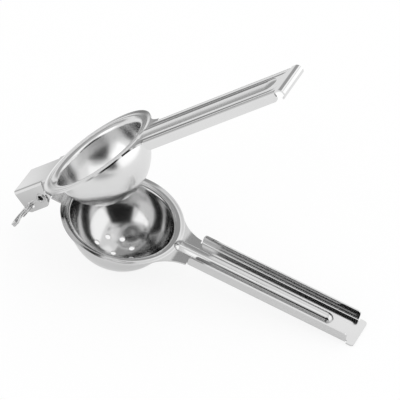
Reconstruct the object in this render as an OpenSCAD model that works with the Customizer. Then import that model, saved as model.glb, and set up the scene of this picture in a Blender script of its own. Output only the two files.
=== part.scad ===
// Hinged lemon squeezer, pressed from steel sheet.
// A strainer arm lies on its bowl and on the tip of its handle. A press arm swings
// over it on a hollow hinge pin, and a split ring hangs in one ear of the hinge.
// Each arm is drawn in its own frame: the top of its flat sheet is z = 0, the axis
// of its bowl is x = y = 0, and the handle runs along +X.

/* [Sheet] */
// Thickness of both pressed sheets
sheet = 1.0; // [0.8:0.1:1.2]
// Outer radius of every fold
fold_r = 2.0; // [1.5:0.1:2.5]
// Side gap between the strainer arm and the press arm that folds over it
nest_gap = 0.3; // [0.2:0.05:0.6]

/* [Strainer bowl] */
// Inner radius of the bowl, whose centre is level with the rim
bowl_r = 30; // [27:0.5:31]
// Radius of the rounded mouth of the bowl
bowl_mouth_r = 2.4; // [1.6:0.1:3]
// Width of the flat rim around the rounded mouth
rim_w = 3.7; // [2.7:0.1:5]
// Diameter of each drain hole
drain_d = 3.2; // [2:0.1:4]
// Drain holes in the ring around the middle one
drain_count = 8; // [5:1:10]
// Radius of the ring of drain holes
drain_ring_r = 11; // [8:0.5:14]

/* [Press cup] */
// Gap between the cup and the bowl around it when the squeezer is closed
cup_gap = 0.7; // [0.5:0.1:3]
// Depth of the cup's centre below its rim
cup_drop = 2.2; // [1.5:0.1:3]
// Radius of the rounded mouth of the cup
cup_mouth_r = 3.2; // [2:0.1:4]
// How far the cup's rim reaches past the rim of the bowl
cup_rim_over = 0.5; // [0:0.1:1.5]

/* [Strainer handle] */
// Width over the side flanges
handle_w = 21.6; // [19:0.2:23]
// Height of the side flanges, over the outer face of the sheet
strainer_flange_h = 6.8; // [5:0.1:7]
// Distance from the rim of the bowl to the start of the flanges
strainer_flange_from_rim = 10.5; // [8:0.5:14]
// Length of the flanges
strainer_flange_l = 99.5; // [80:0.5:120]
// Length of the flat tongue past the flanges
strainer_tongue = 5.2; // [4:0.1:8]
// Corner radius of the tongue
tongue_corner_r = 1.8; // [1:0.1:3]
// Radius of the neck that flares from the rim into the handle
strainer_neck_r = 24; // [19:1:40]
// Corner radius at the ends of the flanges
strainer_flange_round = 2.0; // [1:0.1:2.5]

/* [Press handle] */
// Height of the side flanges, over the outer face of the sheet
press_flange_h = 6.0; // [5:0.1:6.2]
// Distance from the rim of the cup to the start of the flanges
press_flange_from_rim = 6.7; // [5.5:0.1:9]
// How much sooner the press arm's flanges end than the strainer arm's
press_flange_short = 3; // [2:0.5:6]
// Length of the flat tongue between the flanges and the turned lip
press_tongue = 3.1; // [2:0.1:8]
// Outer radius of the bend from the tongue into the lip
lip_bend_r = 3.1; // [1.6:0.1:3.2]
// Depth of the lip that is turned down at the tip
lip_h = 3.4; // [3.4:0.1:4.5]
// Radius of the neck that flares from the rim into the handle
press_neck_r = 15; // [13:1:30]
// Corner radius at the ends of the flanges
press_flange_round = 2.6; // [1:0.1:3]

/* [Stiffening beads] */
// Outer radius of the round bead raised along the strainer handle
bead_r = 4.0; // [3.6:0.1:4.5]
// Height of that bead over the sheet
bead_h = 3.0; // [2:0.1:3.1]
// Outer radius of the broad bead raised along the press handle
press_bead_r = 14; // [12:0.5:18]
// Height of that bead over the sheet
press_bead_h = 1.2; // [0.8:0.1:1.4]
// Gap between the mouth of a bowl and the start of its bead
bead_start_gap = 1.2; // [0.8:0.1:3]
// Distance from the end of the strainer handle's flanges back to the end of its bead
bead_end_back = 12; // [8:0.5:20]
// Distance from the end of the press handle's flanges back to the end of its bead
press_bead_end_back = 4.5; // [3:0.5:20]

/* [Hinge] */
// Distance from the rim of the bowl back to the hinge pin
pin_from_rim = 10.4; // [9.8:0.2:13]
// Depth of the pin below the top of the strainer arm's sheet
pin_drop = 2.8; // [2.4:0.1:3.6]
// Gap between the two sheets when the squeezer is closed
closed_gap = 5.5; // [5.5:0.1:7]
// Radius of the hinge pin's shank
pin_r = 2.2; // [1.8:0.1:2.6]
// Radius of the drilling in each end of the pin
pin_drill_r = 1.5; // [1:0.1:1.6]
// Depth of the drilling in each end of the pin
pin_drill_depth = 5; // [3:0.5:8]
// Width of the rolled head at each end of the pin, past the shank
pin_head_w = 0.8; // [0.6:0.1:1.2]
// Radial clearance of the pin in the strainer arm's ears
pin_running = 0.06; // [0.02:0.01:0.09]
// Radial clearance of the pin in the press arm's ears
pin_seat = 0.02; // [0.01:0.01:0.05]
// Radius of the strainer arm's ears about the pin
strainer_ear_r = 6.2; // [5:0.1:6.4]
// Length of the strainer arm's ears from the pin towards the bowl
strainer_ear_front = 4.9; // [4:0.1:5.4]
// Length of the press arm's ears from the pin away from the cup
press_ear_back = 15.2; // [13:0.2:16]
// Length of the press arm's ears from the pin towards the cup, at the fold
press_ear_front = 7.6; // [6.8:0.1:8]
// How far that front edge leans back over the height of the ear
press_ear_lean = 3.6; // [0:0.1:4]
// Depth of the press arm's ears below the pin
press_ear_low = 6.4; // [5.4:0.1:8]
// Radius of the back corner of the press arm's ears
press_ear_round = 3.0; // [1:0.1:3]
// Radius of the front corner of the press arm's ears
press_ear_front_round = 4.5; // [2:0.1:4.5]
// Width of the relief slot between a fold and the flat sheet beside it
relief_w = 0.8; // [0.5:0.1:1.2]

/* [Hanging ring] */
// Radius of the hole for the ring in each ear of the press arm
ring_hole_r = 2.2; // [2:0.1:2.4]
// Distance of that hole from the back edge of the ear
ring_hole_back = 5.2; // [3.6:0.1:5.6]
// Distance of that hole from the lower edge of the ear
ring_hole_low = 4.2; // [3.6:0.1:5]
// Radius of the ring at the middle of its wire
ring_r = 8.8; // [7.5:0.1:11]
// Width of the wire across the ring
wire_w = 1.8; // [1.4:0.1:2]
// Thickness of one turn of the wire
wire_t = 1.2; // [0.9:0.05:1.3]
// Gap between the two turns
turn_gap = 0.06; // [0.04:0.01:0.12]
// Clearance between the wire and the edge of its hole
ring_seat = 0.15; // [0.1:0.05:0.3]

/* [Pose] */
// Angle between the arms
open_angle = 51; // [0:1:105]
// Direction in which the ring lies from its hole, in the press arm's frame
ring_lie = 198; // [160:1:230]

/* [Hidden] */
$fn = 72;
over = 1;
mouth_lap = 0.004;
join_slant = 0.6;
rim_lap = 0.8;
neck_lap = 0.01;

// Half widths: the press arm folds over the strainer arm with the same gap at the
// handle and at the hinge
strainer_half = handle_w / 2;
press_half = strainer_half + nest_gap + sheet;

// Outer radii of the bowls, and the radii at which the rounded mouths leave the rims
bowl_out_r = bowl_r + sheet;
cup_r = bowl_r - sheet - cup_gap;
function mouth_edge(r, mouth, drop) = sqrt(pow(r + mouth, 2) - pow(mouth - drop, 2));
bowl_edge = mouth_edge(bowl_r, bowl_mouth_r, 0);
cup_edge = mouth_edge(cup_r, cup_mouth_r, cup_drop);

// Outer radii of the flat rims, and what is placed from them: the pin and the flanges
bowl_rim_r = bowl_edge + rim_w;
cup_rim_r = bowl_rim_r + cup_rim_over;
pin_back = bowl_rim_r + pin_from_rim;
strainer_flange_x0 = bowl_rim_r + strainer_flange_from_rim;
strainer_flange_x1 = strainer_flange_x0 + strainer_flange_l;
press_flange_x0 = cup_rim_r + press_flange_from_rim;
press_flange_x1 = strainer_flange_x1 - press_flange_short;

// Half width of a round-backed bead at its foot, and how much sooner its hollow ends
function bead_foot(r, h) = sqrt(pow(r, 2) - pow(r - h, 2));
function bead_wall(r, h) = bead_foot(r, h) - bead_foot(r - sheet, h);

// Handle tips, and the height of the press arm over the strainer arm when closed
strainer_tip = strainer_flange_x1 + strainer_tongue;
press_bend = press_flange_x1 + press_tongue;
press_tip = press_bend + lip_bend_r;
press_lift = closed_gap + sheet;

// Hinge: the pin in the press arm's frame, the ears and the ring's hole
press_pin_z = -pin_drop - press_lift;
press_ear_x0 = -pin_back - press_ear_back;
press_ear_x1 = -pin_back + press_ear_front;
press_ear_z = press_pin_z - press_ear_low;
ring_hole_x = press_ear_x0 + ring_hole_back;
ring_hole_z = press_ear_z + ring_hole_low;
strainer_ear_x1 = -pin_back + strainer_ear_front;

// Ring: two turns of wire, whose inner side bears on the edge of the hole
turn_pitch = wire_t + turn_gap;
ring_half_t = turn_pitch / 2 + wire_t / 2;
ring_shift = sqrt(pow(ring_hole_r - ring_seat, 2) - pow(ring_half_t, 2)) - wire_w / 2;
ring_y = -(press_half - sheet / 2);
step_angle = 34;
step_at = 250;
step_rings = 10;

// Rest: the bowl and the lower edge of the tongue both touch z = 0
rest_tilt = asin(bowl_out_r / norm([strainer_tip, sheet])) - atan2(sheet, strainer_tip);

// Where a point of an arm's frame lies along X at rest, measured from the bowl
function tilted(p) = p[0] * cos(rest_tilt) + p[1] * sin(rest_tilt);
function opened(p) = [
    -pin_back + (p[0] + pin_back) * cos(open_angle) - (p[1] - press_pin_z) * sin(open_angle),
    -pin_drop + (p[0] + pin_back) * sin(open_angle) + (p[1] - press_pin_z) * cos(open_angle)
];
ring_world = ring_lie + open_angle - rest_tilt;
ring_mid_x = tilted(opened([ring_hole_x, ring_hole_z])) + (ring_shift + ring_r) * cos(ring_world);
ring_x0 = ring_mid_x - (ring_r + wire_w / 2) * abs(cos(ring_world)) - ring_half_t * abs(sin(ring_world));
box_x0 = tilted(opened([press_ear_x0, 0]));
rest_x0 = min(ring_x0, box_x0);
rest_x1 = tilted([strainer_tip, 0]);
rest_mid = (rest_x0 + rest_x1) / 2;

// ---------------------------------------------------------------- placing

// Puts a shape of the strainer arm's frame in its place at rest
module at_strainer() {
    translate([-rest_mid, 0, bowl_out_r])
        rotate([0, rest_tilt, 0])
            children();
}

// Puts a shape of the press arm's frame in its place at rest
module at_press() {
    at_strainer()
        translate([-pin_back, 0, -pin_drop])
            rotate([0, -open_angle, 0])
                translate([pin_back, 0, pin_drop + press_lift])
                    children();
}

// ---------------------------------------------------------------- sheet forms

// Half section of a round bowl, its rounded mouth and a strip of its rim. The mouth is a hair
// fuller than tangent, so that its curves cross those of the bowl, and each of the two
// ends inside the metal of the other on a slanted cut.
module bowl_section(r, mouth, drop) {
    edge = mouth_edge(r, mouth, drop);
    full = mouth + mouth_lap;
    bowl_mid = [0, -drop];
    mouth_mid = [edge, -full];
    lean = atan2(drop - mouth, edge);
    out = [cos(lean), sin(lean)];
    up = [-sin(lean), cos(lean)];
    cut = out + up * join_slant;
    bowl_cut = bowl_mid + out * r;
    mouth_cut = bowl_mid + out * (r + sheet);
    cut_end = mouth_cut + cut * (edge - mouth_cut[0]) / cut[0];
    intersection() {
        translate(bowl_mid)
            difference() {
                circle(r + sheet);
                circle(r);
            }
        polygon([bowl_cut - cut * r / 2, bowl_cut + cut * mouth, [2 * r, -2 * r],
            [0, -2 * r], [0, bowl_cut[1] - cut[1] * r / 2]]);
    }
    intersection() {
        translate(mouth_mid)
            difference() {
                circle(full);
                circle(full - sheet);
            }
        polygon([mouth_cut - cut * (sheet + over), cut_end, [edge, over],
            [mouth_cut[0] - cut[0] * (sheet + over), over]]);
    }
    translate([edge, -sheet])
        square([2 * rim_lap, sheet]);
}

// Bowl of revolution about Z
module bowl(r, mouth, drop) {
    rotate_extrude($fn = 144)
        bowl_section(r, mouth, drop);
}

// Outline of the neck that flares from a round rim into a straight handle
module neck_outline(rim, half, flare) {
    flare_y = half + flare;
    flare_x = sqrt(pow(rim + flare, 2) - pow(flare_y, 2));
    touch = rim / (rim + flare);
    difference() {
        polygon([[0, 0], [flare_x * touch, flare_y * touch], [flare_x, flare_y * touch],
            [flare_x, -flare_y * touch], [flare_x * touch, -flare_y * touch]]);
        for (side = [-1, 1])
            translate([flare_x, side * flare_y])
                circle(flare + neck_lap, $fn = 144);
    }
}

// Flat sheet with its top at z = 0
module flat_sheet() {
    translate([0, 0, -sheet])
        linear_extrude(sheet)
            children();
}

// Section of a folded channel, back down on z = 0, walls up to h
module channel_section(half, h) {
    difference() {
        folded_blank(half, h, fold_r);
        translate([0, sheet])
            folded_blank(half - sheet, h, fold_r - sheet);
    }
}

// Straight-sided blank with two rounded lower corners
module folded_blank(half, h, r) {
    translate([-half, r])
        square([2 * half, h - r]);
    translate([-half + r, 0])
        square([2 * (half - r), h]);
    for (side = [-1, 1])
        translate([side * (half - r), r])
            circle(r);
}

// Channel along X from x0 to x1, back on z = -sheet and walls up
module channel_up(half, h, x0, x1) {
    translate([x0, 0, -sheet])
        rotate([90, 0, 90])
            linear_extrude(x1 - x0)
                channel_section(half, h);
}

// The same channel turned over: back on z = 0 and walls down
module channel_down(half, h, x0, x1) {
    translate([x0, 0, 0])
        rotate([90, 0, 90])
            linear_extrude(x1 - x0)
                mirror([0, 1])
                    channel_section(half, h);
}

// Prism of a side view, in X and Z, as wide as the arm
module side_view(half) {
    translate([0, half + over, 0])
        rotate([90, 0, 0])
            linear_extrude(2 * (half + over))
                children();
}

// Ridge of the given height along X from x0 to x1: a round back on z = 0, with ends
// rounded like a ball
module ridge(r, h, x0, x1) {
    foot = bead_foot(r, h);
    intersection() {
        translate([x0 + foot, 0, h - r])
            rotate([0, 90, 0])
                rotate_extrude()
                    round_ended_section(r, x1 - x0 - 2 * foot);
        translate([x0, -foot, 0])
            cube([x1 - x0, 2 * foot, h]);
    }
}

// Half section of a round-ended bar
module round_ended_section(r, length) {
    square([r, length]);
    for (end = [0, length])
        translate([0, end])
            intersection() {
                circle(r);
                translate([0, -r])
                    square([r, 2 * r]);
            }
}

// Hollow under a ridge, one sheet inside it
module ridge_hollow(r, h, x0, x1) {
    wall = bead_wall(r, h);
    translate([0, 0, -sheet])
        ridge(r - sheet, h, x0 + wall, x1 - wall);
}

// Cylinder along Y through the whole hinge
module cross_hole(x, z, r) {
    translate([x, press_half + over, z])
        rotate([90, 0, 0])
            cylinder(r = r, h = 2 * (press_half + over));
}

// ---------------------------------------------------------------- strainer arm

// Side view of the strainer handle's flanges, with rounded upper corners
module strainer_flange_view() {
    r = strainer_flange_round;
    top = strainer_flange_h - sheet;
    length = strainer_flange_x1 - strainer_flange_x0;
    translate([strainer_flange_x0, -sheet - over])
        square([length, strainer_flange_h - r + over]);
    translate([strainer_flange_x0 + r, -sheet])
        square([length - 2 * r, strainer_flange_h]);
    for (x = [strainer_flange_x0 + r, strainer_flange_x1 - r])
        translate([x, top - r])
            circle(r);
}

// Side view of the strainer arm's ears, round about the pin
module strainer_ear_view() {
    low = pin_drop + strainer_ear_r;
    translate([-pin_back, -pin_drop])
        circle(strainer_ear_r);
    translate([-pin_back - strainer_ear_r, -pin_drop])
        square([strainer_ear_r, pin_drop + over]);
    translate([-pin_back, -low])
        square([strainer_ear_front - fold_r, low + over]);
    translate([-pin_back, -low + fold_r])
        square([strainer_ear_front, low - fold_r + over]);
    translate([-pin_back + strainer_ear_front - fold_r, -low + fold_r])
        circle(fold_r);
}

// Flat outline of the strainer arm
module strainer_outline() {
    half = strainer_half;
    r = tongue_corner_r;
    hinge_x = -pin_back - strainer_ear_r;
    difference() {
        union() {
            circle(bowl_rim_r, $fn = 144);
            neck_outline(bowl_rim_r, half, strainer_neck_r);
            translate([strainer_ear_x1 + relief_w, -half])
                square([-bowl_edge - strainer_ear_x1 - relief_w - rim_lap, 2 * half]);
        }
        circle(bowl_edge + rim_lap, $fn = 144);
        translate([strainer_flange_x0 - relief_w, -bowl_rim_r])
            square([strainer_tip, 2 * bowl_rim_r]);
    }
    translate([strainer_flange_x0 - relief_w - over, -half + fold_r])
        square([strainer_tip - strainer_flange_x0, 2 * (half - fold_r)]);
    translate([hinge_x, -half + fold_r])
        square([-bowl_edge - 2 * rim_lap - hinge_x, 2 * (half - fold_r)]);
    translate([strainer_flange_x1 + relief_w, -half])
        square([strainer_tongue - relief_w - r, 2 * half]);
    translate([strainer_flange_x1 + relief_w, -half + r])
        square([strainer_tongue - relief_w, 2 * (half - r)]);
    for (side = [-1, 1])
        translate([strainer_tip - r, side * (half - r)])
            circle(r);
}

module strainer_arm() {
    bead_x0 = bowl_edge + bead_start_gap;
    bead_x1 = strainer_flange_x1 - bead_end_back;
    hinge_x = -pin_back - strainer_ear_r;
    color("lightgray")
        at_strainer()
            difference() {
                union() {
                    bowl(bowl_r, bowl_mouth_r, 0);
                    flat_sheet()
                        strainer_outline();
                    intersection() {
                        channel_up(strainer_half, strainer_flange_h, strainer_flange_x0, strainer_flange_x1);
                        side_view(strainer_half)
                            strainer_flange_view();
                    }
                    intersection() {
                        channel_down(strainer_half, pin_drop + strainer_ear_r + over, hinge_x, strainer_ear_x1);
                        side_view(strainer_half)
                            strainer_ear_view();
                    }
                    ridge(bead_r, bead_h, bead_x0, bead_x1);
                }
                ridge_hollow(bead_r, bead_h, bead_x0, bead_x1);
                cross_hole(-pin_back, -pin_drop, pin_r + pin_running);
                drain_holes();
            }
}

// One drain hole in the middle of the bowl and a ring of them around it
module drain_holes() {
    depth = bowl_out_r + over;
    translate([0, 0, -depth])
        cylinder(d = drain_d, h = depth / 2);
    for (i = [0 : drain_count - 1])
        rotate([0, 0, i * 360 / drain_count])
            translate([drain_ring_r, 0, -depth])
                cylinder(d = drain_d, h = depth / 2);
}

// ---------------------------------------------------------------- press arm

// Side view of the press handle's flanges, with rounded lower corners
module press_flange_view() {
    r = press_flange_round;
    length = press_flange_x1 - press_flange_x0;
    translate([press_flange_x0, -press_flange_h + r])
        square([length, press_flange_h - r + over]);
    translate([press_flange_x0 + r, -press_flange_h])
        square([length - 2 * r, press_flange_h]);
    for (x = [press_flange_x0 + r, press_flange_x1 - r])
        translate([x, -press_flange_h + r])
            circle(r);
}

// Side view of the press arm's ears: upright at the back, leaning at the front, with
// rounded lower corners
module press_ear_view() {
    r = press_ear_round;
    front_r = press_ear_front_round;
    lean = atan2(press_ear_lean, -press_ear_z);
    foot = [press_ear_x1 - press_ear_lean, press_ear_z];
    front_mid = foot + [-front_r * tan(45 + lean / 2), front_r];
    front_touch = front_mid + front_r * [cos(lean), -sin(lean)];
    back_mid = [press_ear_x0 + r, press_ear_z + r];
    polygon([[press_ear_x0, over], [press_ear_x0, back_mid[1]], back_mid, [back_mid[0], foot[1]],
        [front_mid[0], foot[1]], front_mid, front_touch, [press_ear_x1, 0], [press_ear_x1, over]]);
    translate(back_mid)
        circle(r);
    translate(front_mid)
        circle(front_r);
}

// Side view of the lip that is turned down at the tip of the handle
module lip_view() {
    difference() {
        union() {
            translate([press_bend, -lip_bend_r])
                circle(lip_bend_r);
            translate([press_bend, -lip_h])
                square([lip_bend_r, lip_h - lip_bend_r]);
        }
        translate([press_bend, -lip_bend_r])
            circle(lip_bend_r - sheet);
        translate([press_bend - lip_bend_r - over, -2 * lip_bend_r - over])
            square([lip_bend_r + over, 2 * lip_bend_r + 2 * over]);
        translate([press_bend - over, -lip_h - over])
            square([lip_bend_r - sheet + over, lip_h - lip_bend_r + over]);
    }
}

// Flat outline of the press arm
module press_outline() {
    half = press_half;
    difference() {
        union() {
            circle(cup_rim_r, $fn = 144);
            neck_outline(cup_rim_r, half, press_neck_r);
            translate([press_ear_x1 + relief_w, -half])
                square([-cup_edge - press_ear_x1 - relief_w - rim_lap, 2 * half]);
        }
        circle(cup_edge + rim_lap, $fn = 144);
        translate([press_flange_x0 - relief_w, -cup_rim_r])
            square([press_tip, 2 * cup_rim_r]);
    }
    translate([press_flange_x0 - relief_w - over, -half + fold_r])
        square([press_bend - press_flange_x0 + relief_w + over, 2 * (half - fold_r)]);
    translate([press_ear_x0, -half + fold_r])
        square([-cup_edge - 2 * rim_lap - press_ear_x0, 2 * (half - fold_r)]);
    translate([press_flange_x1 + relief_w, -half])
        square([press_tongue - relief_w, 2 * half]);
}

module press_arm() {
    bead_x0 = cup_edge + bead_start_gap;
    bead_x1 = press_flange_x1 - press_bead_end_back;
    color("silver")
        at_press()
            difference() {
                union() {
                    bowl(cup_r, cup_mouth_r, cup_drop);
                    flat_sheet()
                        press_outline();
                    intersection() {
                        channel_down(press_half, press_flange_h, press_flange_x0, press_flange_x1);
                        side_view(press_half)
                            press_flange_view();
                    }
                    intersection() {
                        channel_down(press_half, -press_ear_z, press_ear_x0, press_ear_x1);
                        side_view(press_half)
                            press_ear_view();
                    }
                    translate([0, press_half, 0])
                        rotate([90, 0, 0])
                            linear_extrude(2 * press_half)
                                lip_view();
                    ridge(press_bead_r, press_bead_h, bead_x0, bead_x1);
                }
                ridge_hollow(press_bead_r, press_bead_h, bead_x0, bead_x1);
                cross_hole(-pin_back, press_pin_z, pin_r + pin_seat);
                cross_hole(ring_hole_x, ring_hole_z, ring_hole_r);
            }
}

// ---------------------------------------------------------------- hinge pin

// Half section of one end of the pin, from the middle to the rolled head
module pin_half_section() {
    roll_r = (pin_r + pin_head_w - pin_drill_r) / 2;
    difference() {
        union() {
            square([pin_r, press_half]);
            intersection() {
                translate([pin_drill_r + roll_r, press_half])
                    circle(roll_r);
                translate([0, press_half])
                    square([2 * pin_r, roll_r + over]);
            }
        }
        translate([0, press_half - pin_drill_depth])
            square([pin_drill_r, pin_drill_depth + roll_r + over]);
    }
}

module hinge_pin() {
    color("gray")
        at_press()
            translate([-pin_back, 0, press_pin_z])
                for (side = [-90, 90])
                    rotate([side, 0, 0])
                        rotate_extrude()
                            pin_half_section();
}

// ---------------------------------------------------------------- hanging ring

// Section of one turn: flat faces between the turns, round inside and outside
module wire_section() {
    intersection() {
        circle(wire_w / 2, $fn = 24);
        square([wire_w + over, wire_t], center = true);
    }
}

// One turn of the ring, leaving room for the step
module ring_turn(level) {
    rotate([0, 0, step_at + step_angle / 2])
        translate([0, 0, level])
            rotate_extrude(angle = 360 - step_angle, $fn = 64)
                translate([ring_r, 0])
                    wire_section();
}

// Corners of the wire's section along the step, a hair inside the turns it joins
function wire_corners() = [
    for (side = [0, 180], lean = [-36, -18, 0, 18, 36])
        [cos(side + lean), sin(side + lean)] * (wire_w / 2 - turn_gap / 2)
];

// The step: the wire climbs from one turn to the next along a smooth curve
module ring_step() {
    section = wire_corners();
    count = len(section);
    bite = 3;
    start = step_at - step_angle / 2 - bite;
    points = [
        for (i = [0 : step_rings]) let (
            part = i / step_rings,
            turn = start + part * (step_angle + 2 * bite),
            rise = -turn_pitch / 2 * cos(180 * part)
        )
            for (c = section)
                [(ring_r + c[0]) * cos(turn), (ring_r + c[0]) * sin(turn), rise + c[1]]
    ];
    sides = [
        for (i = [0 : step_rings - 1], j = [0 : count - 1])
            let (k = (j + 1) % count)
                [i * count + j, i * count + k, (i + 1) * count + k, (i + 1) * count + j]
    ];
    caps = [
        [for (j = [count - 1 : -1 : 0]) j],
        [for (j = [0 : count - 1]) step_rings * count + j]
    ];
    polyhedron(points, concat(sides, caps));
}

module hanging_ring() {
    color("darkgray")
        at_press()
            translate([ring_hole_x, ring_y, ring_hole_z])
                rotate([0, -ring_lie, 0])
                    translate([ring_shift + ring_r, 0, 0]) {
                        ring_turn(-turn_pitch / 2);
                        ring_turn(turn_pitch / 2);
                        ring_step();
                    }
}

strainer_arm();
press_arm();
hinge_pin();
hanging_ring();
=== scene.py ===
# %% [markdown]
# # A hinged lemon squeezer in polished steel
#
# Two arms are pressed from sheet steel. The lower one is a strainer bowl with nine drain
# holes, the upper one a cup that swings down into it. A pin with hollow ends joins them
# at the back, and a split ring hangs there for a hook. The shapes come from the CAD
# model and stay as they are. This scene adds the polish, the studio and the camera.

import math

import bpy
from mathutils import Matrix, Vector

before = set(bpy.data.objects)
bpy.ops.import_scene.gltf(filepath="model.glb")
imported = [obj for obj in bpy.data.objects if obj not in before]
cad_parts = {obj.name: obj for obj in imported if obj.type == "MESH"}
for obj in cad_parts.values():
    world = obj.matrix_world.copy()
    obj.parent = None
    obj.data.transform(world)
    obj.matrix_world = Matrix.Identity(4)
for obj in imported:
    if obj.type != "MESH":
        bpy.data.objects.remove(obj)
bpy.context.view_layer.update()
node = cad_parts
scene = bpy.context.scene

# %% [markdown]
# ## The camera
# The squeezer is small and is seen through a long lens from nearly two metres away, so
# its lines hardly converge. Such a camera could be dragged into place in the viewport.
# Here it is set by the point it aims at, the direction it looks from, its distance and
# a small roll, because these four are easy to read and to change.

# %% Place the camera
AIM = Vector((0.004607, 0.002227, 0.060176))
AZIMUTH = math.radians(24.089)
ELEVATION = math.radians(40.9166)
ROLL = math.radians(1.3122)
DISTANCE = 1.87495
FOCAL_MM = 301.72
SENSOR_MM = 36
FARTHEST = 20

camera_data = bpy.data.cameras.new("studio_camera")
camera_data.lens = FOCAL_MM
camera_data.sensor_width = SENSOR_MM
camera_data.clip_end = FARTHEST
camera = bpy.data.objects.new("studio_camera", camera_data)
scene.collection.objects.link(camera)
toward_camera = Vector((
    math.sin(AZIMUTH) * math.cos(ELEVATION),
    -math.cos(AZIMUTH) * math.cos(ELEVATION),
    math.sin(ELEVATION),
))
aimed = (-toward_camera).to_track_quat("-Z", "Y").to_matrix().to_4x4()
camera.matrix_world = (
    Matrix.Translation(AIM + toward_camera * DISTANCE)
    @ aimed
    @ Matrix.Rotation(ROLL, 4, "Z")
)
scene.camera = camera
print("camera at", [round(v, 4) for v in camera.matrix_world.translation])

# %% [markdown]
# ## The white room
# A polished thing is only what it mirrors, so the room matters more than the lamps. An
# environment image could stand in for it, but a plain white world needs no file, and
# every dark thing in it can then be placed by itself. Camera rays and mirrored rays see
# it at full white. The rays that light the table have a strength of their own, so that
# the light can change while the white stays white.


# %% Add and link shader nodes
def add(tree, kind, **settings):
    made = tree.nodes.new("ShaderNode" + kind)
    for name, value in settings.items():
        setattr(made, name, value)
    return made


def feed(tree, socket, value):
    if isinstance(value, bpy.types.NodeSocket):
        tree.links.new(value, socket)
    else:
        socket.default_value = value


def calc(tree, operation, *values):
    made = add(tree, "Math", operation=operation)
    for socket, value in zip(made.inputs, values):
        feed(tree, socket, value)
    return made.outputs[0]


print("node helpers:", [helper.__name__ for helper in (add, feed, calc)])

# %% Tell the rays apart
SEEN_RAYS = ("Is Camera Ray",)
MIRRORED_RAYS = ("Is Glossy Ray", "Is Transmission Ray")


def ray_mask(tree, kinds):
    path = add(tree, "LightPath")
    mask = path.outputs[kinds[0]]
    for kind in kinds[1:]:
        mask = calc(tree, "MAXIMUM", mask, path.outputs[kind])
    return mask


print("rays that see plain white:", SEEN_RAYS + MIRRORED_RAYS)

# %% Set the view transform and make the white room
scene.view_settings.view_transform = "Standard"
ROOM_LIGHT = 1.0


def grey(tone):
    return (tone, tone, tone, 1)


def glow(tree, kind, tone, strength=1):
    made = add(tree, kind)
    made.inputs["Color"].default_value = grey(tone)
    made.inputs["Strength"].default_value = strength
    return made.outputs[0]


def blend(tree, share, first, second):
    made = add(tree, "MixShader")
    for socket, value in zip(made.inputs, (share, first, second)):
        feed(tree, socket, value)
    return made.outputs[0]


def make_room(light):
    world = bpy.data.worlds.new("white_room")
    scene.world = world
    world.use_nodes = True
    tree = world.node_tree
    tree.nodes.clear()
    lighting = glow(tree, "Background", 1, light)
    white = glow(tree, "Background", 1)
    seen = ray_mask(tree, SEEN_RAYS + MIRRORED_RAYS)
    out = add(tree, "OutputWorld")
    tree.links.new(blend(tree, seen, lighting, white), out.inputs["Surface"])
    return world


room = make_room(ROOM_LIGHT)
print("room:", room.name)

# %% [markdown]
# ## The table
# The squeezer rests on a matt white sheet. A shadow catcher could do the same for the
# camera, but the underside of the arms mirrors the table too, so it is a real sheet. A
# share of its colour is plain white for the camera and a smaller share for mirrored
# rays, so it runs into the room without a horizon and still keeps a soft shadow.

# %% Lay the table
TABLE_HALF = 3.0
TABLE_TOP = -0.0003
TABLE_TONE = 0.9
TABLE_ROUGHNESS = 0.9
SEEN_GLOW = 0.85
MIRRORED_GLOW = 0.5


def panel(name, corners, material):
    mesh = bpy.data.meshes.new(name)
    mesh.from_pydata(corners, [], [tuple(range(len(corners)))])
    sheet_map = mesh.uv_layers.new(name="sheet_map")
    for loop, place in zip(sheet_map.data, ((0, 0), (1, 0), (1, 1), (0, 1))):
        loop.uv = place
    mesh.materials.append(material)
    made = bpy.data.objects.new(name, mesh)
    scene.collection.objects.link(made)
    return made


def table_paint(seen_glow, mirrored_glow):
    paint = bpy.data.materials.new("white_table_paint")
    paint.use_nodes = True
    tree = paint.node_tree
    matt = tree.nodes["Principled BSDF"]
    matt.inputs["Base Color"].default_value = grey(TABLE_TONE)
    matt.inputs["Roughness"].default_value = TABLE_ROUGHNESS
    matt.inputs["Specular IOR Level"].default_value = 0
    seen = calc(tree, "MULTIPLY", ray_mask(tree, SEEN_RAYS), seen_glow)
    mirrored = ray_mask(tree, MIRRORED_RAYS)
    share = calc(tree, "MULTIPLY_ADD", mirrored, mirrored_glow, seen)
    mixed = blend(tree, share, matt.outputs[0], glow(tree, "Emission", 1))
    tree.links.new(mixed, tree.nodes["Material Output"].inputs["Surface"])
    return paint


table_corners = ((-1, -1), (1, -1), (1, 1), (-1, 1))
table = panel(
    "white_table",
    [(x * TABLE_HALF, y * TABLE_HALF, TABLE_TOP) for x, y in table_corners],
    table_paint(SEEN_GLOW, MIRRORED_GLOW),
)
print("table:", table.name)

# %% [markdown]
# ## Cards and cloths
# Dark things around a bowl are what give its steel depth: a dark room on the camera's
# side that is only dim at its top, walls and a skirting on the left, a dark door low at
# the back. They could be modelled as a room, but in a curved mirror only their outline
# and tone count, so each is a flat card. From below, a grey sheet lies on the table in
# front, and two dark sheets of painted shade stand for the squeezer's shadow on the
# table behind it and under the hinge. All have soft edges and show in the steel, but not
# to the camera.

# %% Find a place in the room
# A place is given by its compass direction (0 is the -Y side, 90 the tips of the
# handles), its height over the horizon in degrees, and its distance in metres.
MIDDLE = Vector((0, 0, 0.05))


def in_room(compass, height, distance):
    turn, rise = math.radians(compass), math.radians(height)
    return MIDDLE + distance * Vector((
        math.sin(turn) * math.cos(rise),
        -math.cos(turn) * math.cos(rise),
        math.sin(rise),
    ))


print("the room turns around", list(MIDDLE))

# %% Paint a card with soft edges
HALFWAY = 0.5


def ramp(tree, value, low, high, smooth=False):
    made = add(tree, "MapRange")
    if smooth:
        made.interpolation_type = "SMOOTHSTEP"
    for name, given in (("Value", value), ("From Min", low), ("From Max", high)):
        feed(tree, made.inputs[name], given)
    return made.outputs[0]


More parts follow.
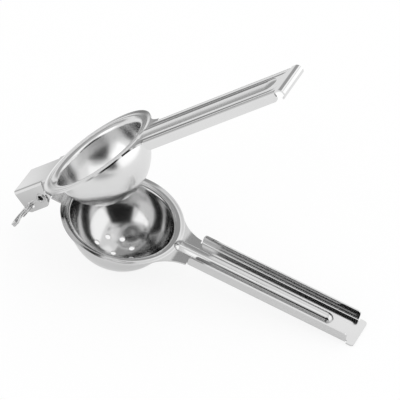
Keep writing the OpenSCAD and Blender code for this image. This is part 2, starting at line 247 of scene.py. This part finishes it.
def split(tree, vector):
    made = add(tree, "SeparateXYZ")
    tree.links.new(vector, made.inputs[0])
    return made.outputs


def up_and_down(tree, value):
    # From 0 at both ends of a way that runs from 0 to 1 up to HALFWAY in its middle
    return calc(tree, "PINGPONG", value, HALFWAY)


def card_paint(name, tone, edge, density):
    paint = bpy.data.materials.new(name)
    paint.use_nodes = True
    tree = paint.node_tree
    tree.nodes.clear()
    across = split(tree, add(tree, "TexCoord").outputs["UV"])
    fades = [
        ramp(tree, up_and_down(tree, across[axis]), 0, width, True)
        for axis, width in zip(("X", "Y"), edge)
    ]
    mask = calc(tree, "MULTIPLY", calc(tree, "MULTIPLY", *fades), density)
    clear = add(tree, "BsdfTransparent").outputs[0]
    mixed = blend(tree, mask, clear, glow(tree, "Emission", tone))
    tree.links.new(mixed, add(tree, "OutputMaterial").inputs["Surface"])
    return paint


def mirrored_only(name, corners, tone, edge, density):
    made = panel(name, corners, card_paint(name + "_paint", tone, edge, density))
    made.visible_camera = False
    made.visible_diffuse = False
    made.visible_shadow = False
    return made


print("a soft edge is a share of the card's width, up to", HALFWAY)


# %% Stand the cards
def card(name, corners, distance, tone, edge, density=1.0):
    places = [in_room(compass, height, distance) for compass, height in corners]
    return mirrored_only(name, places, tone, edge, density)


cards = [
    card(
        "dark_room_front", ((-2, 0), (66, 0), (68, 51), (-8, 51)),
        distance=1.5, tone=0.02, edge=(0.1, 0.12),
    ),
    card(
        "dim_room_top", ((-2, 30), (64, 30), (70, 66), (-2, 66)),
        distance=1.6, tone=0.25, edge=(0.25, 0.25), density=0.5,
    ),
    card(
        "grey_wall_left", ((-175, 6), (-96, 6), (-96, 76), (-175, 76)),
        distance=1.7, tone=0.14, edge=(0.05, 0.22), density=0.95,
    ),
    card(
        "pale_wall_left", ((-175, -3), (-46, -3), (-46, 80), (-175, 84)),
        distance=1.8, tone=0.5, edge=(0.2, 0.3), density=0.8,
    ),
    card(
        "skirting_left", ((-130, -1), (-68, -1), (-68, 16), (-130, 16)),
        distance=1.6, tone=0.12, edge=(0.35, 0.35), density=0.6,
    ),
    card(
        "dark_door_back", ((138, -2), (184, -2), (184, 30), (138, 30)),
        distance=1.5, tone=0.2, edge=(0.3, 0.3),
    ),
]
print("cards:", [made.name for made in cards])

# %% Lay the grey sheet and the painted shade on the table
CLOTH_AND_SHADE_LIFT = 0.0002


# Lays a sheet on the table that only the steel sees: the grey sheet in front, and the
# dark sheets of painted shade behind the squeezer and under the hinge.
def cloth(name, corners, tone, edge, density=1.0):
    places = [(x, y, TABLE_TOP + CLOTH_AND_SHADE_LIFT) for x, y in corners]
    return mirrored_only(name, places, tone, edge, density)


cloths_and_painted_shade = [
    # Painted shade: a dark sheet on the table behind the squeezer, for its shadow there,
    # seen only in the steel.
    cloth(
        "painted_shade_back", ((-0.5, 0.08), (0.05, 0.08), (0.05, 0.68), (-0.56, 0.72)),
        tone=0.12, edge=(0.4, 0.35), density=0.9,
    ),
    # Painted shade: a dark sheet for the table's shadow under the hinge, seen only in
    # the steel.
    cloth(
        "painted_shade_under_hinge",
        ((-0.15, -0.08), (-0.075, -0.08), (-0.075, 0.01), (-0.15, 0.01)),
        tone=0.03, edge=(0.5, 0.5), density=0.35,
    ),
    cloth(
        "grey_cloth_front", ((-0.1, -1.1), (0.9, -1.1), (0.45, -0.12), (-0.05, -0.16)),
        tone=0.35, edge=(0.25, 0.25), density=0.8,
    ),
]
print("cloths:", [made.name for made in cloths_and_painted_shade])

# %% [markdown]
# ## The lamps
# Four soft lamps stand around the table. The white room could light it all alone, but
# without them the light would have no side. In a mirror a lamp adds to the white room
# behind it, so all are weak. The largest stands past the tips of the handles.


# %% Hang the soft lamps
def soft_lamp(name, compass, height, distance, size, watts):
    data = bpy.data.lights.new(name, "AREA")
    data.shape = "RECTANGLE"
    data.size, data.size_y = size
    data.energy = watts
    lamp = bpy.data.objects.new(name, data)
    scene.collection.objects.link(lamp)
    place = in_room(compass, height, distance)
    lamp.matrix_world = Matrix.Translation(place) @ (
        (MIDDLE - place).to_track_quat("-Z", "Y").to_matrix().to_4x4()
    )
    return lamp


lamps = [
    soft_lamp("right_softbox", 106, 24, distance=1.2, size=(1.7, 1.1), watts=2.6),
    soft_lamp("front_left_softbox", -34, 24, distance=1.2, size=(0.8, 0.9), watts=1.2),
    soft_lamp("overhead_softbox", 40, 80, distance=1.3, size=(0.9, 0.6), watts=0.5),
    soft_lamp("back_softbox", 170, 47, distance=1.3, size=(0.34, 0.4), watts=0.1),
]
print("lamps:", [lamp.name for lamp in lamps])

# %% [markdown]
# ## Polished steel
# Steel that is polished on a wheel has very fine lines along the stroke, soft waves in
# the sheet and a haze of wiping marks. These could be painted as images, but noise
# needs no file and is as sharp on the ring as on the bowl. One node group makes them as
# a roughness, a height and a shade, so that each part can use them in its own amounts.

# %% Build the polish group
STROKE_SCALE = 900.0
STROKE_DETAIL = 3
STROKE_ROUGHNESS = 0.04
STROKE_HEIGHT = 0.04
WIPE_SCALE = 34
WIPE_DETAIL = 4
WIPE_RANGE = (0.3, 0.75)
WAVE_SCALE = 55
WAVE_DETAIL = 0


def noise(tree, place, scale, detail):
    made = add(tree, "TexNoise")
    feed(tree, made.inputs["Vector"], place)
    feed(tree, made.inputs["Scale"], scale)
    made.inputs["Detail"].default_value = detail
    return made.outputs["Fac"]


def polish_group():
    group = bpy.data.node_groups.new("wheel_polish", "ShaderNodeTree")
    for name, kind, default in (
        ("Line scale", "NodeSocketFloat", STROKE_SCALE),
        ("Stretch", "NodeSocketVector", (0.05, 1.0, 1.0)),
        ("Smooth", "NodeSocketFloat", 0.07),
        ("Haze", "NodeSocketFloat", 0.08),
    ):
        socket = group.interface.new_socket(name, in_out="INPUT", socket_type=kind)
        socket.default_value = default
    for name in ("Roughness", "Height", "Shade"):
        group.interface.new_socket(name, in_out="OUTPUT", socket_type="NodeSocketFloat")
    come = group.nodes.new("NodeGroupInput").outputs
    go = group.nodes.new("NodeGroupOutput").inputs
    place = add(group, "TexCoord").outputs["Object"]
    drawn = add(group, "VectorMath", operation="MULTIPLY")
    group.links.new(place, drawn.inputs[0])
    group.links.new(come["Stretch"], drawn.inputs[1])
    strokes = noise(group, drawn.outputs[0], come["Line scale"], STROKE_DETAIL)
    wipes = ramp(group, noise(group, place, WIPE_SCALE, WIPE_DETAIL), *WIPE_RANGE)
    waves = noise(group, place, WAVE_SCALE, WAVE_DETAIL)
    hazed = calc(group, "MULTIPLY_ADD", wipes, come["Haze"], come["Smooth"])
    rough = calc(group, "MULTIPLY_ADD", strokes, STROKE_ROUGHNESS, hazed)
    fine = calc(group, "MULTIPLY", strokes, STROKE_HEIGHT)
    group.links.new(rough, go["Roughness"])
    group.links.new(calc(group, "ADD", fine, waves), go["Height"])
    group.links.new(wipes, go["Shade"])
    return group


wheel_polish = polish_group()
print("group sockets:", [item.name for item in wheel_polish.interface.items_tree])

# %% [markdown]
# ## What the press left
# A pressed sheet is never quite flat, and on a mirror finish that bends the
# reflections. Here each rim is a little crowned, the strips beside the bead swell or
# sink by about a tenth of a millimetre, the neck falls towards the bowl, and the free
# edge of a fold springs outward. The best place for such a form is the sheet itself.
# This is only a bump, with amounts chosen one by one, because the solids stay as they
# were built. A second group gives it as a height in millimetres in each arm's own frame,
# so that it follows the rim and the folds and not the world.

# %% Build the swell group
END_FADE_MM = 5
INSIDE_FADE_MM = 4


def crown(tree, value, low, high, rise):
    folded = up_and_down(tree, ramp(tree, value, low, high))
    return calc(tree, "MULTIPLY", ramp(tree, folded, 0, HALFWAY, True), rise)


def swell_group():
    group = bpy.data.node_groups.new("sheet_swell", "ShaderNodeTree")
    group.interface.new_socket("Place", in_out="INPUT", socket_type="NodeSocketVector")
    for name in (
        "Rim inside", "Rim outside", "Rim rise",
        "Strip inside", "Strip outside", "Strip rise",
        "Neck end", "Neck rise", "Handle end",
        "Fold foot", "Fold edge", "Fold spring",
    ):
        group.interface.new_socket(name, in_out="INPUT", socket_type="NodeSocketFloat")
    for name in ("Height", "Inside"):
        group.interface.new_socket(name, in_out="OUTPUT", socket_type="NodeSocketFloat")
    come = group.nodes.new("NodeGroupInput").outputs
    go = group.nodes.new("NodeGroupOutput").inputs

    def times(first, second):
        return calc(group, "MULTIPLY", first, second)

    def less(first, second):
        return calc(group, "SUBTRACT", first, second)

    x, y, z = split(group, come["Place"])
    side = calc(group, "ABSOLUTE", y)
    radius = calc(group, "SQRT", calc(group, "MULTIPLY_ADD", x, x, times(y, y)))
    rim = crown(group, radius, come["Rim inside"], come["Rim outside"], come["Rim rise"])
    past_neck = ramp(group, x, come["Rim outside"], come["Neck end"], True)
    neck = times(less(1, past_neck), come["Neck rise"])
    past_end = ramp(group, less(x, come["Handle end"]), -END_FADE_MM, 0, True)
    on_handle = times(past_neck, less(1, past_end))
    strip = crown(
        group, side, come["Strip inside"], come["Strip outside"], come["Strip rise"]
    )
    turned = split(group, add(group, "TexCoord").outputs["Normal"])
    outward = calc(group, "SIGN", times(turned["Y"], y))
    up_fold = ramp(group, z, come["Fold foot"], come["Fold edge"])
    spring = times(calc(group, "POWER", up_fold, 2), outward)
    spring = times(times(spring, come["Fold spring"]), on_handle)
    total = calc(group, "ADD", rim, neck)
    total = calc(group, "ADD", total, times(strip, on_handle))
    group.links.new(calc(group, "ADD", total, spring), go["Height"])
    from_rim = less(come["Rim inside"], radius)
    group.links.new(ramp(group, from_rim, 0, INSIDE_FADE_MM, True), go["Inside"])
    return group


sheet_swell = swell_group()
print("swell sockets:", [item.name for item in sheet_swell.interface.items_tree])

# %% [markdown]
# ## The four steels
# The two arms are the same sheet, but the press arm gets a lighter steel than the
# strainer
# arm because it looks brighter: that lightness is painted light. Within its rim each arm
# is a little rougher on both sides, because a polishing wheel reaches a bowl less well
# than flat sheet. The pin is duller, with fine lines along it, and the ring's wire has
# lines in no one direction. Each could be a material of its own, but one function mixes
# all four from the two groups, so that only the amounts differ.

# %% Mix a steel
MM = 0.001
WAVE_HEIGHT = 0.00002


def swollen(tree, arm, swell):
    place = add(tree, "Mapping", vector_type="TEXTURE")
    middle, turn = arm
    place.inputs["Location"].default_value = middle
    place.inputs["Rotation"].default_value = (0, math.radians(turn), 0)
    place.inputs["Scale"].default_value = (MM, MM, MM)
    tree.links.new(add(tree, "TexCoord").outputs["Object"], place.inputs["Vector"])
    pressed = add(tree, "Group", node_tree=sheet_swell)
    tree.links.new(place.outputs[0], pressed.inputs["Place"])
    for name, amount in swell.items():
        pressed.inputs[name].default_value = amount
    bent = add(tree, "Bump")
    bent.inputs["Distance"].default_value = MM
    tree.links.new(pressed.outputs["Height"], bent.inputs["Height"])
    return bent.outputs["Normal"], pressed.outputs["Inside"]


def polished_steel(
    name, light, dark, smooth, haze, stretch, wave, arm=None, swell=None, dull_inside=0
):
    steel = bpy.data.materials.new(name)
    steel.use_nodes = True
    tree = steel.node_tree
    shader = tree.nodes["Principled BSDF"].inputs
    shader["Metallic"].default_value = 1
    polish = add(tree, "Group", node_tree=wheel_polish)
    polish.inputs["Stretch"].default_value = stretch
    polish.inputs["Smooth"].default_value = smooth
    polish.inputs["Haze"].default_value = haze
    tone = add(tree, "Mix", data_type="RGBA")
    tone.inputs["A"].default_value = grey(light)
    tone.inputs["B"].default_value = grey(dark)
    tree.links.new(polish.outputs["Shade"], tone.inputs["Factor"])
    tree.links.new(tone.outputs["Result"], shader["Base Color"])
    waved = add(tree, "Bump")
    waved.inputs["Strength"].default_value = wave
    waved.inputs["Distance"].default_value = WAVE_HEIGHT
    tree.links.new(polish.outputs["Height"], waved.inputs["Height"])
    tree.links.new(waved.outputs["Normal"], shader["Normal"])
    rough = polish.outputs["Roughness"]
    if swell:
        bent, inside = swollen(tree, arm, swell)
        tree.links.new(bent, waved.inputs["Normal"])
        rough = calc(tree, "MULTIPLY_ADD", inside, dull_inside, rough)
    tree.links.new(rough, shader["Roughness"])
    return steel


print("a wave is about", WAVE_HEIGHT / MM, "mm high before its strength")

# %% Mix the four steels
# Each arm's frame is the middle of its bowl at rest in metres and its turn in degrees.
# The swells are in millimetres in that frame, with x along the handle.
STRAINER_ARM = ((-0.042243, 0, 0.031), 11.451)
PRESS_ARM = ((-0.058421, 0, 0.074192), -39.549)
STRAINER_SWELL = {
    "Rim inside": 30.8, "Rim outside": 36.2, "Rim rise": 0.38,
    "Strip inside": 3.9, "Strip outside": 8.8, "Strip rise": 0.14,
    "Neck end": 58, "Neck rise": -1.3, "Handle end": 147,
    "Fold foot": 2.5, "Fold edge": 6.8, "Fold spring": 0.2,
}
PRESS_SWELL = {
    "Rim inside": 31.8, "Rim outside": 36.5, "Rim rise": 0.2,
    "Strip inside": 5.7, "Strip outside": 10.1, "Strip rise": -0.12,
    "Neck end": 46, "Neck rise": -0.1, "Handle end": 143,
    "Fold foot": -1, "Fold edge": -6, "Fold spring": 0.1,
}
finishes = {
    "strainer_arm": polished_steel(
        "strainer_polish", light=0.63, dark=0.59, smooth=0.07, haze=0.05,
        stretch=(0.05, 1, 1), wave=0.15,
        arm=STRAINER_ARM, swell=STRAINER_SWELL, dull_inside=0.03,
    ),
    # The press arm's steel is lighter than the strainer's, though it is the same sheet:
    # painted light.
    "press_arm": polished_steel(
        "press_polish_painted_light", light=0.74, dark=0.70, smooth=0.07, haze=0.05,
        stretch=(0.05, 1, 0.3), wave=0.3,
        arm=PRESS_ARM, swell=PRESS_SWELL, dull_inside=0.1,
    ),
    "hinge_pin": polished_steel(
        "pin_polish", light=0.60, dark=0.50, smooth=0.16, haze=0.12,
        stretch=(1, 0.2, 1), wave=0.6,
    ),
    "hanging_ring": polished_steel(
        "ring_polish", light=0.72, dark=0.66, smooth=0.3, haze=0.06,
        stretch=(1, 1, 1), wave=0.1,
    ),
}
print("finishes:", [steel.name for steel in finishes.values()])

# %% Dress the four parts
for name, steel in finishes.items():
    part = node[name]
    if not part.material_slots:
        part.data.materials.append(steel)
    for slot in part.material_slots:
        slot.material = steel
    print(name, "wears", steel.name, "on", len(part.data.polygons), "faces")
